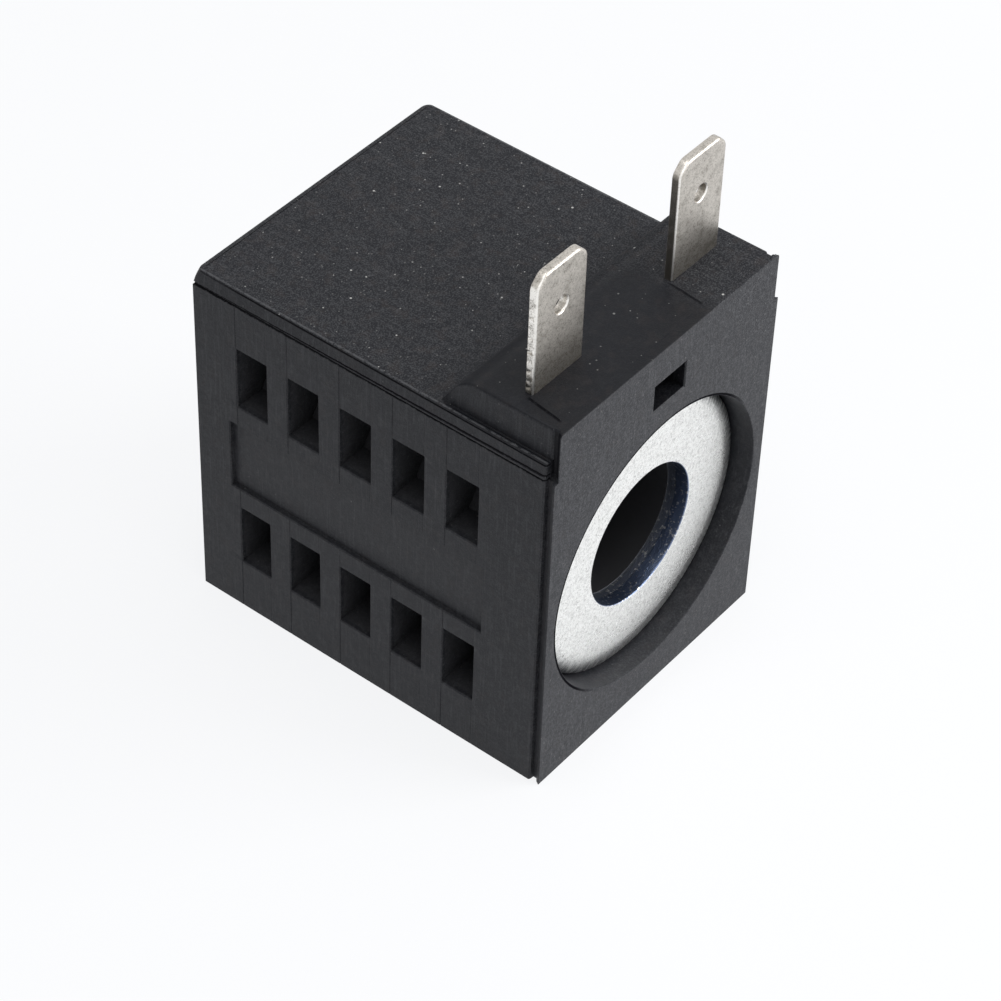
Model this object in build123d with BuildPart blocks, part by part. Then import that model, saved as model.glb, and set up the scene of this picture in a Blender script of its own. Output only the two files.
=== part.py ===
from build123d import *
import os

# Solenoid valve coil with an over-moulded casing, two flux washers and two blade terminals.
# Frame: +Z up, -Y is the front face with the slot, origin on the underside below the middle of the casing.
# All lengths are millimetres.

# Casing, outside
body_width = 30.0
body_length = 37.6
body_height = 36.1
shoulder_drop = 1.6
shoulder_step = 0.13
top_corner_radius = 1.1
top_edge_chamfer = 0.25

# Raised terminal block across the front of the top
block_rise = 3.2
block_length = 11.9
block_ramp = 2.0
block_crest_radius = 3.0
block_inset = 0.7
block_edge_radius = 0.45

# Lip and groove around the front face
lip_depth = 0.4
lip_inset = 0.05
lip_block_inset = 0.55
groove_width = 0.5
groove_depth = 0.3

# Bore and the round core, built up from the bore outwards
bore_height = 17.2
bore_diameter = 13.4
bobbin_wall = 1.2
winding_depth = 2.55
tape_thickness = 0.35
sleeve_wall = 1.5
core_clearance = 0.05
jacket_wall = 1.0

# Pocket at each end of the core
pocket_ledge = 1.25
pocket_recess = 1.7

# Flux washers, stamped from sheet
washer_thickness = 2.2
washer_clearance = 0.2
washer_roll_start = 1.8
washer_roll_middle = 0.7
washer_roll_depth = 0.45
washer_hole_chamfer = 0.12

# Flux sleeve, rolled from sheet
sleeve_seam = 0.3
sleeve_notch_width = 13.0

# Bobbin, with the cross bar just below the casing's top
flange_thickness = 1.6
neck_width = 12.0
bar_width = 25.4
bar_thickness = 2.6
bar_height = 5.0
bar_drop = 0.1
bar_corner_radius = 1.0

# Opening in the wrap around the winding
tape_window_width = 8.0

# Blade terminals
blade_pitch = 18.0
blade_width = 6.3
blade_thickness = 0.8
blade_reach = 11.5
blade_setback = 4.55
blade_tip_chamfer = 1.0
blade_tip_radius = 0.4
blade_edge_bevel = 0.12
blade_hole_diameter = 1.8
blade_hole_to_tip = 4.3
tail_width = 4.6
tail_floor = 0.6
tang_width = 1.4
tang_length = 2.0
slot_clearance = 0.05

# Lead wires and joints
wire_diameter = 0.5
sleeving_diameter = 0.9
lead_spread = 6.0
lead_sink = 0.4
solder_diameter = 2.2
solder_chamfer = 0.5

# Spaces in the casing behind the cross bar
joint_space_depth = 2.4
joint_space_drop = 0.4
joint_space_rise = 0.6
joint_space_margin = 0.3
lead_space_width = 7.2

# Side windows, in two rows on each side, that end on the round jacket of the core
window_count = 5
window_pitch = 5.6
window_width = 3.3
window_height = 6.4
window_depth = 8.8
window_rows_apart = 18.05
window_rear_margin = 4.55
panel_mid_height = 17.6

# Shallow panel between the two rows
panel_length = 27.3
panel_height = 7.35
panel_depth = 0.5
panel_rear_margin = 3.6

# Slot in the front face above the washer
slot_width = 4.1
slot_height = 2.7
slot_drop = 1.5

front_y = -body_length / 2
rear_y = body_length / 2
shoulder_height = body_height - shoulder_drop
block_top = body_height + block_rise
upper_half_width = body_width / 2 - shoulder_step
block_half_width = upper_half_width - block_inset
bore_radius = bore_diameter / 2
tube_radius = bore_radius + bobbin_wall
winding_radius = tube_radius + winding_depth
flange_radius = winding_radius + tape_thickness
sleeve_inner_radius = flange_radius + core_clearance
sleeve_radius = sleeve_inner_radius + sleeve_wall
core_radius = sleeve_radius + core_clearance
jacket_radius = core_radius + jacket_wall
pocket_radius = core_radius + pocket_ledge
core_front = front_y + pocket_recess + washer_thickness
core_rear = rear_y - pocket_recess - washer_thickness
core_length = core_rear - core_front
winding_front = core_front + flange_thickness
winding_rear = core_rear - flange_thickness
bar_rear = core_front + bar_thickness
bar_top = body_height - bar_drop
bar_bottom = bar_top - bar_height
tail_bottom = bar_bottom + tail_floor
blade_front = front_y + blade_setback
blade_mid = blade_front + blade_thickness / 2
blade_rear = blade_front + blade_thickness
blade_tip = block_top + blade_reach
tang_x = blade_pitch / 2 - tail_width / 2 + tang_width / 2
lead_x = lead_spread / 2
lead_y = bar_rear + solder_diameter / 2
lead_top = tail_bottom + blade_thickness / 2
lead_climb = bore_height + winding_radius - lead_sink
joint_space_bottom = bar_bottom - joint_space_drop
joint_space_top = lead_top + solder_diameter / 2 + joint_space_rise
lead_groove = sleeving_diameter + 2 * slot_clearance
lead_groove_bottom = bore_height + (tube_radius ** 2 - (lead_x - lead_groove / 2) ** 2) ** 0.5
start_lead_y = winding_front - lead_groove / 2
start_lead_foot = lead_groove_bottom + slot_clearance + wire_diameter / 2


def upright(y):
    """Plane parallel to the front face at y, with up as its own y; extrude by a minus to go rearwards."""
    return Plane(origin=(0, y, 0), x_dir=(1, 0, 0), z_dir=(0, -1, 0))


def side_plane(side, y, z):
    """Plane on the left (-1) or right (1) face of the body, facing outwards, with its origin at y, z."""
    return Plane(origin=(side * body_width / 2, y, z), x_dir=(0, side, 0), z_dir=(side, 0, 0))


def export(piece, name):
    """Names a finished piece and writes it."""
    piece.label = name
    export_step(piece, "parts/" + name + ".step")


def tower_outline():
    """Outline of the neck and the cross bar that stand on the bobbin's front flange."""
    with Locations((0, (bore_height + bar_top) / 2)):
        Rectangle(neck_width, bar_top - bore_height)
    with Locations((0, (bar_bottom + bar_top) / 2)):
        RectangleRounded(bar_width, bar_top - bar_bottom, bar_corner_radius)


def make_casing():
    """Over-moulded casing: panelled body, narrower top, terminal block, lip, windows and openings."""
    panel_front = front_y + lip_depth + groove_width
    top_rear = rear_y - shoulder_step
    with BuildPart() as casing:
        # Body with the side faces, behind the front groove
        with BuildSketch():
            with Locations((0, (panel_front + rear_y) / 2)):
                Rectangle(body_width, rear_y - panel_front)
        extrude(amount=shoulder_height)

        # Narrower top above the shoulder, with round rear corners
        with BuildSketch(Plane.XY.offset(shoulder_height)):
            with Locations((0, (panel_front + top_rear) / 2)):
                Rectangle(2 * upper_half_width, top_rear - panel_front)
            fillet(vertices().group_by(Axis.Y)[-1], top_corner_radius)
        extrude(amount=body_height - shoulder_height)
        top_edges = faces().sort_by(Axis.Z)[-1].edges().sort_by(Axis.Y)[1:]
        chamfer(top_edges, top_edge_chamfer)

        # Terminal block with a ramp and a round crest at its rear, and round upper side edges
        with BuildSketch(Plane.YZ):
            with BuildLine():
                Polyline(
                    (panel_front, body_height - top_edge_chamfer),
                    (panel_front, block_top),
                    (front_y + block_length - block_ramp, block_top),
                    (front_y + block_length, body_height),
                    (front_y + block_length, body_height - top_edge_chamfer),
                    close=True,
                )
            make_face()
            crest = vertices().group_by(Axis.Y)[-1].sort_by(Axis.X)[-1]
            fillet(crest, block_crest_radius)
        extrude(amount=block_half_width, both=True)
        block_sides = faces().filter_by(Axis.X).filter_by(
            lambda face: face.center().Z > body_height and abs(face.center().X) < upper_half_width - 0.01
        )
        fillet(block_sides.edges().filter_by(
            lambda edge: edge.center().Z > body_height + 0.1 and edge.center().Y > panel_front + 0.1
        ), block_edge_radius)

        # Lip around the front face and the groove behind it
        for start, depth, inset in (
            (front_y, lip_depth, 0.0),
            (front_y + lip_depth, groove_width, groove_depth),
        ):
            with BuildSketch(upright(start)):
                with Locations((0, (shoulder_height + inset) / 2)):
                    Rectangle(body_width - 2 * (lip_inset + inset), shoulder_height - inset)
                with Locations((0, (shoulder_height / 2 + block_top - inset) / 2)):
                    Rectangle(body_width - 2 * (lip_block_inset + inset), block_top - inset - shoulder_height / 2)
            extrude(amount=-depth)

        # Windows, cut past the jacket, and the shallow panel between their rows
        window_mid = rear_y - window_rear_margin - (window_count - 1) * window_pitch / 2 - window_width / 2
        panel_mid = rear_y - panel_rear_margin - panel_length / 2
        for side in (-1, 1):
            with BuildSketch(side_plane(side, window_mid, panel_mid_height)):
                with GridLocations(window_pitch, window_rows_apart, window_count, 2):
                    Rectangle(window_width, window_height)
            extrude(amount=-window_depth, mode=Mode.SUBTRACT)
            with BuildSketch(side_plane(side, panel_mid, panel_mid_height)):
                Rectangle(panel_length, panel_height)
            extrude(amount=-panel_depth, mode=Mode.SUBTRACT)

        # Round jacket that shows as the curved floor of the windows
        with BuildSketch(upright(core_front)):
            with Locations((0, bore_height)):
                Circle(jacket_radius)
        extrude(amount=-core_length)

        # Space for the core, with a wider pocket for the washer at each end
        with BuildSketch(upright(core_front)):
            with Locations((0, bore_height)):
                Circle(core_radius)
        extrude(amount=-core_length, mode=Mode.SUBTRACT)
        for start in (front_y, core_rear):
            with BuildSketch(upright(start)):
                with Locations((0, bore_height)):
                    Circle(pocket_radius)
            extrude(amount=-(pocket_recess + washer_thickness), mode=Mode.SUBTRACT)

        # Slot in the front face, down to the bobbin's cross bar
        with BuildSketch(upright(front_y)):
            with Locations((0, body_height - slot_drop)):
                Rectangle(slot_width, slot_height)
        extrude(amount=-(core_front - front_y), mode=Mode.SUBTRACT)

        # Space that the bobbin's neck and cross bar fill
        with BuildSketch(upright(core_front)):
            tower_outline()
        extrude(amount=-bar_thickness, mode=Mode.SUBTRACT)

        # Space behind the cross bar for the tangs, the joints and the lead wires
        with BuildSketch(upright(bar_rear)):
            with Locations((0, (joint_space_bottom + joint_space_top) / 2)):
                Rectangle(2 * tang_x + solder_diameter + 2 * joint_space_margin,
                          joint_space_top - joint_space_bottom)
            with Locations((0, (bore_height + joint_space_bottom) / 2)):
                Rectangle(lead_space_width, joint_space_bottom - bore_height)
        extrude(amount=-joint_space_depth, mode=Mode.SUBTRACT)

        # Slots for the blades, from the cross bar out through the top of the block
        with BuildSketch(Plane.XY.offset(bar_top)):
            with Locations((0, blade_mid)):
                with GridLocations(blade_pitch, 1, 2, 1):
                    Rectangle(blade_width, blade_thickness)
        extrude(amount=block_rise + body_height - bar_top, mode=Mode.SUBTRACT)
    return casing.part


def make_washer(face_y, inward):
    """Stamped flux washer with its outer face at y face_y; inward is 1 or -1, towards the casing's middle."""
    outer = pocket_radius - washer_clearance
    back_y = face_y + inward * washer_thickness
    with BuildPart() as washer:
        with BuildSketch(Plane.XY.offset(bore_height)):
            with BuildLine():
                Polyline(
                    (bore_radius + washer_hole_chamfer, face_y),
                    (outer - washer_roll_start, face_y),
                    (outer - washer_roll_middle, face_y + inward * washer_roll_depth / 4),
                    (outer, face_y + inward * washer_roll_depth),
                    (outer, back_y),
                    (bore_radius, back_y),
                    (bore_radius, face_y + inward * washer_hole_chamfer),
                    close=True,
                )
            make_face()
        revolve(axis=Axis((0, 0, bore_height), (0, 1, 0)))
    return washer.part


def make_sleeve():
    """Rolled flux sleeve with an open butt seam below and a notch for the bobbin's neck above."""
    with BuildPart() as sleeve:
        with BuildSketch(upright(core_front)):
            with Locations((0, bore_height)):
                Circle(sleeve_radius)
                Circle(sleeve_inner_radius, mode=Mode.SUBTRACT)
            with Locations((0, bore_height - sleeve_radius)):
                Rectangle(sleeve_seam, 3 * sleeve_wall, mode=Mode.SUBTRACT)
        extrude(amount=-core_length)
        with BuildSketch(upright(core_front)):
            with Locations((0, bore_height + sleeve_radius)):
                Rectangle(sleeve_notch_width, 6 * sleeve_wall)
        extrude(amount=-(bar_thickness + joint_space_depth), mode=Mode.SUBTRACT)
    return sleeve.part


def make_bobbin():
    """Bobbin: tube, two flanges, and a neck with a cross bar that carries both terminals."""
    with BuildPart() as bobbin:
        # Neck and cross bar, hollowed behind the front flange so that the winding fits below them
        with BuildSketch(upright(core_front)):
            tower_outline()
        extrude(amount=-bar_thickness)
        with BuildSketch(upright(winding_front)):
            with Locations((0, bore_height)):
                Circle(flange_radius)
        extrude(amount=-(bar_rear - winding_front), mode=Mode.SUBTRACT)

        # Tube and flanges, then the bore
        for start, radius, depth in (
            (core_front, flange_radius, flange_thickness),
            (core_front, tube_radius, core_length),
            (winding_rear, flange_radius, flange_thickness),
        ):
            with BuildSketch(upright(start)):
                with Locations((0, bore_height)):
                    Circle(radius)
            extrude(amount=-depth)
        with BuildSketch(upright(core_front)):
            with Locations((0, bore_height)):
                Circle(bore_radius)
        extrude(amount=-core_length, mode=Mode.SUBTRACT)

        # Pockets for the terminal tails, open upwards, and the slots that let their tangs out at the rear
        with BuildSketch(Plane.XY.offset(tail_bottom)):
            with Locations((0, blade_mid)):
                with GridLocations(blade_pitch, 1, 2, 1):
                    Rectangle(tail_width + 2 * slot_clearance, blade_thickness + 2 * slot_clearance)
            with Locations((0, (blade_rear + bar_rear) / 2)):
                with GridLocations(2 * tang_x, 1, 2, 1):
                    Rectangle(tang_width + 2 * slot_clearance, bar_rear - blade_rear)
        extrude(amount=bar_top - tail_bottom, mode=Mode.SUBTRACT)

        # Groove that brings the start lead up the flange and back through the neck
        with BuildSketch(Plane.XY.offset(lead_groove_bottom)):
            with Locations((-lead_x, start_lead_y)):
                Rectangle(lead_groove, lead_groove)
        extrude(amount=lead_climb - lead_groove_bottom, mode=Mode.SUBTRACT)
        notch_front = winding_front - lead_groove
        with BuildSketch(Plane.XY.offset(lead_climb - sleeving_diameter / 2)):
            with Locations((-lead_x, (notch_front + bar_rear) / 2)):
                Rectangle(lead_groove, bar_rear - notch_front)
        extrude(amount=bar_rear - notch_front + sleeving_diameter, mode=Mode.SUBTRACT)
    return bobbin.part


def make_winding():
    """Copper winding as one solid ring between the flanges."""
    with BuildPart() as winding:
        with BuildSketch(upright(winding_front)):
            with Locations((0, bore_height)):
                Circle(winding_radius)
                Circle(tube_radius, mode=Mode.SUBTRACT)
        extrude(amount=-(winding_rear - winding_front))
    return winding.part


def make_tape():
    """Insulating wrap over the winding, with a window where the lead wires come out."""
    window_length = lead_y + sleeving_diameter - winding_front
    with BuildPart() as tape:
        with BuildSketch(upright(winding_front)):
            with Locations((0, bore_height)):
                Circle(flange_radius)
                Circle(winding_radius, mode=Mode.SUBTRACT)
        extrude(amount=-(winding_rear - winding_front))
        with BuildSketch(Plane.XY.offset(bore_height)):
            with Locations((0, winding_front + window_length / 2)):
                Rectangle(tape_window_width, window_length)
        extrude(amount=core_radius, mode=Mode.SUBTRACT)
    return tape.part


def make_terminal(side):
    """Blade terminal on one side: tab with a bevelled tip and a hole, tail, and a tang bent to the rear."""
    middle = side * blade_pitch / 2
    with BuildPart() as terminal:
        with BuildSketch(upright(blade_front)):
            with Locations((middle, (bar_top + blade_tip) / 2)):
                Rectangle(blade_width, blade_tip - bar_top)
            chamfer(vertices().group_by(Axis.Y)[-1], blade_tip_chamfer)
            fillet(vertices().group_by(Axis.Y)[-2:], blade_tip_radius)
        extrude(amount=-blade_thickness)
        broad_faces = faces().filter_by(Axis.Y)
        chamfer(broad_faces.edges().filter_by(lambda edge: edge.center().Z > bar_top + 0.1), blade_edge_bevel)

        with BuildSketch(upright(blade_front)):
            with Locations((middle, (tail_bottom + bar_top) / 2)):
                Rectangle(tail_width, bar_top - tail_bottom)
        extrude(amount=-blade_thickness)
        with BuildSketch(Plane.XY.offset(tail_bottom)):
            with Locations((side * tang_x, (blade_rear + bar_rear + tang_length) / 2)):
                Rectangle(tang_width, bar_rear + tang_length - blade_rear)
        extrude(amount=blade_thickness)
        with BuildSketch(upright(blade_front)):
            with Locations((middle, blade_tip - blade_hole_to_tip)):
                Circle(blade_hole_diameter / 2)
        extrude(amount=-blade_thickness, mode=Mode.SUBTRACT)
    return terminal.part


def make_lead(points):
    """Enamelled wire end along the given points, bent sharply at each."""
    with BuildPart() as lead:
        with BuildLine() as route:
            Polyline(*points)
        with BuildSketch(Plane(origin=route.line @ 0, z_dir=route.line % 0)):
            Circle(wire_diameter / 2)
        sweep(transition=Transition.RIGHT)
    return lead.part


def make_sleeving():
    """Insulating tube on the start lead where it passes the layers of the winding."""
    foot = start_lead_foot + wire_diameter / 2
    with BuildPart() as sleeving:
        with BuildSketch(Plane.XY.offset(foot)):
            with Locations((-lead_x, start_lead_y)):
                Circle(sleeving_diameter / 2)
                Circle(wire_diameter / 2, mode=Mode.SUBTRACT)
        extrude(amount=lead_climb - wire_diameter - foot)
    return sleeving.part


def make_solder(side, terminal, lead):
    """Solder bead around the tang and the end of the wire."""
    with BuildPart() as solder:
        with BuildSketch(upright(bar_rear)):
            with Locations((side * tang_x, lead_top)):
                Circle(solder_diameter / 2)
        extrude(amount=-solder_diameter)
        chamfer(edges().filter_by(GeomType.CIRCLE), solder_chamfer)
        add(terminal, mode=Mode.SUBTRACT)
        add(lead, mode=Mode.SUBTRACT)
    return solder.part


tang_side = tang_x - tang_width / 2
start_lead_points = [
    (-lead_x, winding_front, start_lead_foot),
    (-lead_x, start_lead_y, start_lead_foot),
    (-lead_x, start_lead_y, lead_climb),
    (-lead_x, lead_y, lead_climb + lead_y - start_lead_y),
    (-lead_x, lead_y, lead_top),
    (-tang_side, lead_y, lead_top),
]
finish_lead_foot = bore_height + (winding_radius ** 2 - (lead_x - wire_diameter / 2) ** 2) ** 0.5
finish_lead_points = [
    (lead_x, lead_y, finish_lead_foot),
    (lead_x, lead_y, lead_top),
    (tang_side, lead_y, lead_top),
]

os.makedirs("parts", exist_ok=True)

export(make_casing(), "casing")
export(make_washer(front_y + pocket_recess, 1), "front_washer")
export(make_washer(rear_y - pocket_recess, -1), "rear_washer")
export(make_sleeve(), "flux_sleeve")
export(make_bobbin(), "bobbin")
export(make_winding(), "winding")
export(make_tape(), "winding_tape")
export(make_sleeving(), "start_lead_sleeving")
for side, side_name, lead_name, points in (
    (-1, "left", "start_lead", start_lead_points),
    (1, "right", "finish_lead", finish_lead_points),
):
    terminal = make_terminal(side)
    lead = make_lead(points)
    export(terminal, side_name + "_terminal")
    export(lead, lead_name)
    export(make_solder(side, terminal, lead), side_name + "_solder_joint")
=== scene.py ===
"""Looks of a solenoid valve coil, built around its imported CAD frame.

Sizes in the classes are millimetres, in the CAD frame: +Z up, -Y out of the front face with the slot.
"""

from __future__ import annotations

import logging
import math
from dataclasses import dataclass, field
from enum import Enum
from functools import reduce
from operator import mul
from typing import Callable, Optional, Sequence, Union

import bmesh
import bpy
import numpy as np
from mathutils import Matrix, Vector
from mathutils.geometry import delaunay_2d_cdt

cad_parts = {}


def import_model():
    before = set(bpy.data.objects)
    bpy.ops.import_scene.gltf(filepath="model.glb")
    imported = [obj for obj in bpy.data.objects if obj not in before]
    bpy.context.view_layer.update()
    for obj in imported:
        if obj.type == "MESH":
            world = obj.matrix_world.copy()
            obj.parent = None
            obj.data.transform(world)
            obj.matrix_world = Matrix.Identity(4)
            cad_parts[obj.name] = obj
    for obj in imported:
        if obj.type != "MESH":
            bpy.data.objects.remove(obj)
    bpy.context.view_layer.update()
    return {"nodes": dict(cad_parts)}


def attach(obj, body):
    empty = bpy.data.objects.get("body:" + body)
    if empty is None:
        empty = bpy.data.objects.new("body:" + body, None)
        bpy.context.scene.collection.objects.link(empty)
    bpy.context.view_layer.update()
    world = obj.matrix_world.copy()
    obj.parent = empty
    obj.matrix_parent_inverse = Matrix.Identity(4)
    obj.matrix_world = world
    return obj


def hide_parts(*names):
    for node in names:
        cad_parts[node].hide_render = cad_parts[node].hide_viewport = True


LOG = logging.getLogger("coil")
MM = 0.001
JOIN = 1e-4
ROUND_STEPS = 160
BODY = "root"
Colour = tuple[float, float, float]
Span = tuple[float, float]


class Facing(Enum):
    """Which end of the coil a piece belongs to; the value is the sign of its outward y."""

    FRONT = -1.0
    REAR = 1.0


class Side(Enum):
    """Left or right, seen from the front; the value is the sign of x."""

    LEFT = -1.0
    RIGHT = 1.0


# Mesh tools


class Shell:
    """Collects grids and faces in millimetres and joins them into one closed mesh."""

    def __init__(self) -> None:
        """Starts an empty shell."""
        self.points: list[np.ndarray] = []
        self.faces: list[tuple[int, ...]] = []
        self.count = 0

    def add(self, points: np.ndarray, faces: np.ndarray) -> None:
        """Adds points and the faces that index them.

        Args:
            points: n by 3 array in millimetres.
            faces: m by 3 or m by 4 array of indices into points.
        """
        used, index = np.unique(faces, return_inverse=True)
        self.points.append(points.reshape(-1, 3)[used])
        self.faces.extend(map(tuple, (index.reshape(faces.shape) + self.count).tolist()))
        self.count += len(used)

    def grid(self, points: np.ndarray, keep: Optional[np.ndarray] = None, around: bool = False) -> None:
        """Adds a surface given on a grid of two parameters.

        Args:
            points: rows by columns by 3 array in millimetres.
            keep: optional mask of the cells that exist, rows - 1 by columns - 1.
            around: True where the last column joins the first.
        """
        rows, columns = points.shape[:2]
        index = np.arange(rows * columns).reshape(rows, columns)
        if around:
            index = np.hstack([index, index[:, :1]])
        quads = np.stack([index[:-1, :-1], index[:-1, 1:], index[1:, 1:], index[1:, :-1]], axis=-1)
        quads = quads[keep] if keep is not None else quads.reshape(-1, 4)
        self.add(points.reshape(-1, 3), quads)

    def region(self, loops: Sequence[np.ndarray], lift: Callable[[np.ndarray], np.ndarray]) -> None:
        """Fills a flat region between closed loops with triangles.

        A triangle is kept where a line from its centre towards +x crosses the loops an odd number of times.

        Args:
            loops: arrays of n by 2 points, each a closed loop.
            lift: takes 2-D points into space.
        """
        flat = np.vstack(loops)
        sizes = np.array([len(loop) for loop in loops])
        starts = np.repeat(np.cumsum(sizes) - sizes, sizes)
        here = np.arange(len(flat))
        after = starts + (here - starts + 1) % np.repeat(sizes, sizes)
        edges = list(zip(here.tolist(), after.tolist()))
        found = delaunay_2d_cdt([Vector(p) for p in flat.tolist()], edges, [], 0, 1e-7)
        corners = np.array([list(v) for v in found[0]])
        triangles = np.array(found[2], int)
        x, y = corners[triangles].mean(axis=1).T[:, :, None]
        (ax, ay), (bx, by) = flat.T, flat[after].T
        crossed = (ay > y) != (by > y)
        rise = np.where(ay == by, 1.0, by - ay)
        crossed &= x < ax + (bx - ax) * (y - ay) / rise
        self.add(lift(corners), triangles[crossed.sum(axis=1) % 2 == 1])

    def build(self, name: str) -> bpy.types.Object:
        """Makes the mesh object, with its doubles merged and its faces turned outwards.

        Args:
            name: name of the piece.

        Returns:
            The new object, at the origin, in metres.
        """
        mesh = bpy.data.meshes.new(name)
        mesh.from_pydata((np.vstack(self.points) * MM).tolist(), [], self.faces)
        work = bmesh.new()
        work.from_mesh(mesh)
        bmesh.ops.remove_doubles(work, verts=work.verts, dist=JOIN * MM)
        bmesh.ops.dissolve_degenerate(work, edges=work.edges, dist=JOIN * MM)
        bmesh.ops.recalc_face_normals(work, faces=work.faces)
        work.to_mesh(mesh)
        work.free()
        thing = bpy.data.objects.new(name, mesh)
        bpy.context.scene.collection.objects.link(thing)
        return thing


def shade(thing: bpy.types.Object, angle: float) -> None:
    """Shades a piece smoothly, with sharp edges above an angle and normals weighted by face area.

    Args:
        thing: the piece.
        angle: smallest angle in degrees of an edge that stays sharp.
    """
    mesh = thing.data
    mesh.shade_smooth()
    mesh.set_sharp_from_angle(angle=math.radians(angle))
    weighted = thing.modifiers.new("weighted normals", "WEIGHTED_NORMAL")
    weighted.keep_sharp = True
    weighted.weight = 60


def lathe(profile: np.ndarray, height: float, segments: int = ROUND_STEPS) -> np.ndarray:
    """Turns a profile about the bore axis, which runs along y at the given height.

    Each point (r, y) becomes a ring (r cos t, y, height + r sin t) for t once round.

    Args:
        profile: n by 2 array of radius and y.
        height: z of the axis.
        segments: points round the ring.

    Returns:
        n by segments by 3 array.
    """
    turn = np.linspace(0.0, 2.0 * np.pi, segments, endpoint=False)
    radius, along = profile[:, :1], profile[:, 1:]
    return np.stack([
        radius * np.cos(turn),
        np.broadcast_to(along, (len(profile), segments)),
        height + radius * np.sin(turn),
    ], axis=-1)


def arc(centre: tuple[float, float], radius: float, start: float, end: float, steps: int) -> np.ndarray:
    """Points on a circle's arc: centre + radius (cos a, sin a), with a from start to end in degrees."""
    angle = np.radians(np.linspace(start, end, steps + 1))
    return np.stack([centre[0] + radius * np.cos(angle), centre[1] + radius * np.sin(angle)], axis=1)


def place(shell: Shell, name: str, material: bpy.types.Material, slot: str, nodes: Sequence[str] = (),
          angle: float = 32.0) -> bpy.types.Object:
    """Makes a shell a finished piece on the coil's body.

    Args:
        shell: the piece's surface.
        name: the piece's name.
        material: its finish.
        slot: not used.
        nodes: CAD nodes that it stands for.
        angle: smallest angle in degrees of an edge that stays sharp.

    Returns:
        The piece.
    """
    thing = shell.build(name)
    shade(thing, angle)
    thing.data.materials.append(material)
    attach(thing, BODY)
    if nodes:
        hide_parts(*nodes)
    LOG.info("piece %s: %d faces", thing.name, len(thing.data.polygons))
    return thing


# Shader tools

Value = Union["Wire", float]


class Wire:
    """An output socket on which Python arithmetic adds Math nodes."""

    def __init__(self, nodes: "Nodes", socket: bpy.types.NodeSocket) -> None:
        """Wraps a socket of a node tree."""
        self.nodes = nodes
        self.socket = socket

    def math(self, operation: str, *others: Value, clamp: bool = False) -> "Wire":
        """Adds a Math node.

        Args:
            operation: the Math node's operation.
            others: its second and third values.
            clamp: whether the result is kept from 0 to 1.

        Returns:
            The node's result.
        """
        settings = {"operation": operation, "use_clamp": clamp}
        return self.nodes.node("ShaderNodeMath", settings, dict(enumerate((self, *others))))[0]

    def __add__(self, other: Value) -> "Wire":
        """Sum."""
        return self.math("ADD", other)

    __radd__ = __add__

    def __mul__(self, other: Value) -> "Wire":
        """Product."""
        return self.math("MULTIPLY", other)

    __rmul__ = __mul__

    def __sub__(self, other: Value) -> "Wire":
        """Difference."""
        return self.math("SUBTRACT", other)

    def __rsub__(self, other: Value) -> "Wire":
        """Difference the other way round."""
        return (self * -1.0).math("ADD", other)

    def __truediv__(self, other: Value) -> "Wire":
        """Quotient."""
        return self.math("DIVIDE", other)

    def __pow__(self, other: Value) -> "Wire":
        """Power."""
        return self.math("POWER", other)

    def ramp(self, low: float, high: float) -> "Wire":
        """Smooth step from 0 at low to 1 at high; low may be the larger."""
        settings = {"interpolation_type": "SMOOTHSTEP", "clamp": True}
        start, end, first, last = (low, high, 0.0, 1.0) if low < high else (high, low, 1.0, 0.0)
        values = {"Value": self, "From Min": start, "From Max": end, "To Min": first, "To Max": last}
        return self.nodes.node("ShaderNodeMapRange", settings, values)[0]

    def most(self, other: Value) -> "Wire":
        """The larger of two values."""
        return self.math("MAXIMUM", other)

    def absolute(self) -> "Wire":
        """The value without its sign."""
        return self.math("ABSOLUTE")

    def clamped(self) -> "Wire":
        """The value kept from 0 to 1."""
        return self.math("ADD", 0.0, clamp=True)


def within(*zones: tuple[Wire, Span]) -> Wire:
    """Mask of the place where every value is past its span: the product of the smooth steps."""
    return reduce(mul, (value.ramp(*span) for value, span in zones))


class Nodes:
    """A shader's node tree, to which nodes are added."""

    def __init__(self, tree: bpy.types.NodeTree) -> None:
        """Takes the tree that gets the nodes."""
        self.tree = tree

    def node(self, kind: str, settings: dict, values: dict, outputs: Sequence[Union[int, str]] = (0,)
             ) -> tuple[Wire, ...]:
        """Adds any node.

        Args:
            kind: the node's type.
            settings: its properties, which are set first.
            values: numbers, colours, vectors or wires by socket name or place.
            outputs: the outputs to return.

        Returns:
            The asked outputs as wires.
        """
        made = self.tree.nodes.new(kind)
        for key, value in settings.items():
            setattr(made, key, value)
        for key, value in values.items():
            self._feed(made.inputs[key], value)
        return tuple(Wire(self, made.outputs[key]) for key in outputs)

    def _feed(self, socket: bpy.types.NodeSocket, value: object) -> None:
        """Links a wire to a socket, or sets the socket's own value."""
        if isinstance(value, Wire):
            self.tree.links.new(value.socket, socket)
        elif isinstance(value, tuple) and len(value) == 3 and socket.type == "RGBA":
            socket.default_value = (*value, 1.0)
        else:
            socket.default_value = value

    def seen(self) -> Wire:
        """1 for the camera's own rays and for those that metal or glass sends on, 0 for the light's."""
        kinds = ("Is Camera Ray", "Is Glossy Ray", "Is Transmission Ray")
        camera, gloss, through = self.node("ShaderNodeLightPath", {}, {}, kinds)
        return camera.most(gloss).most(through)


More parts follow.
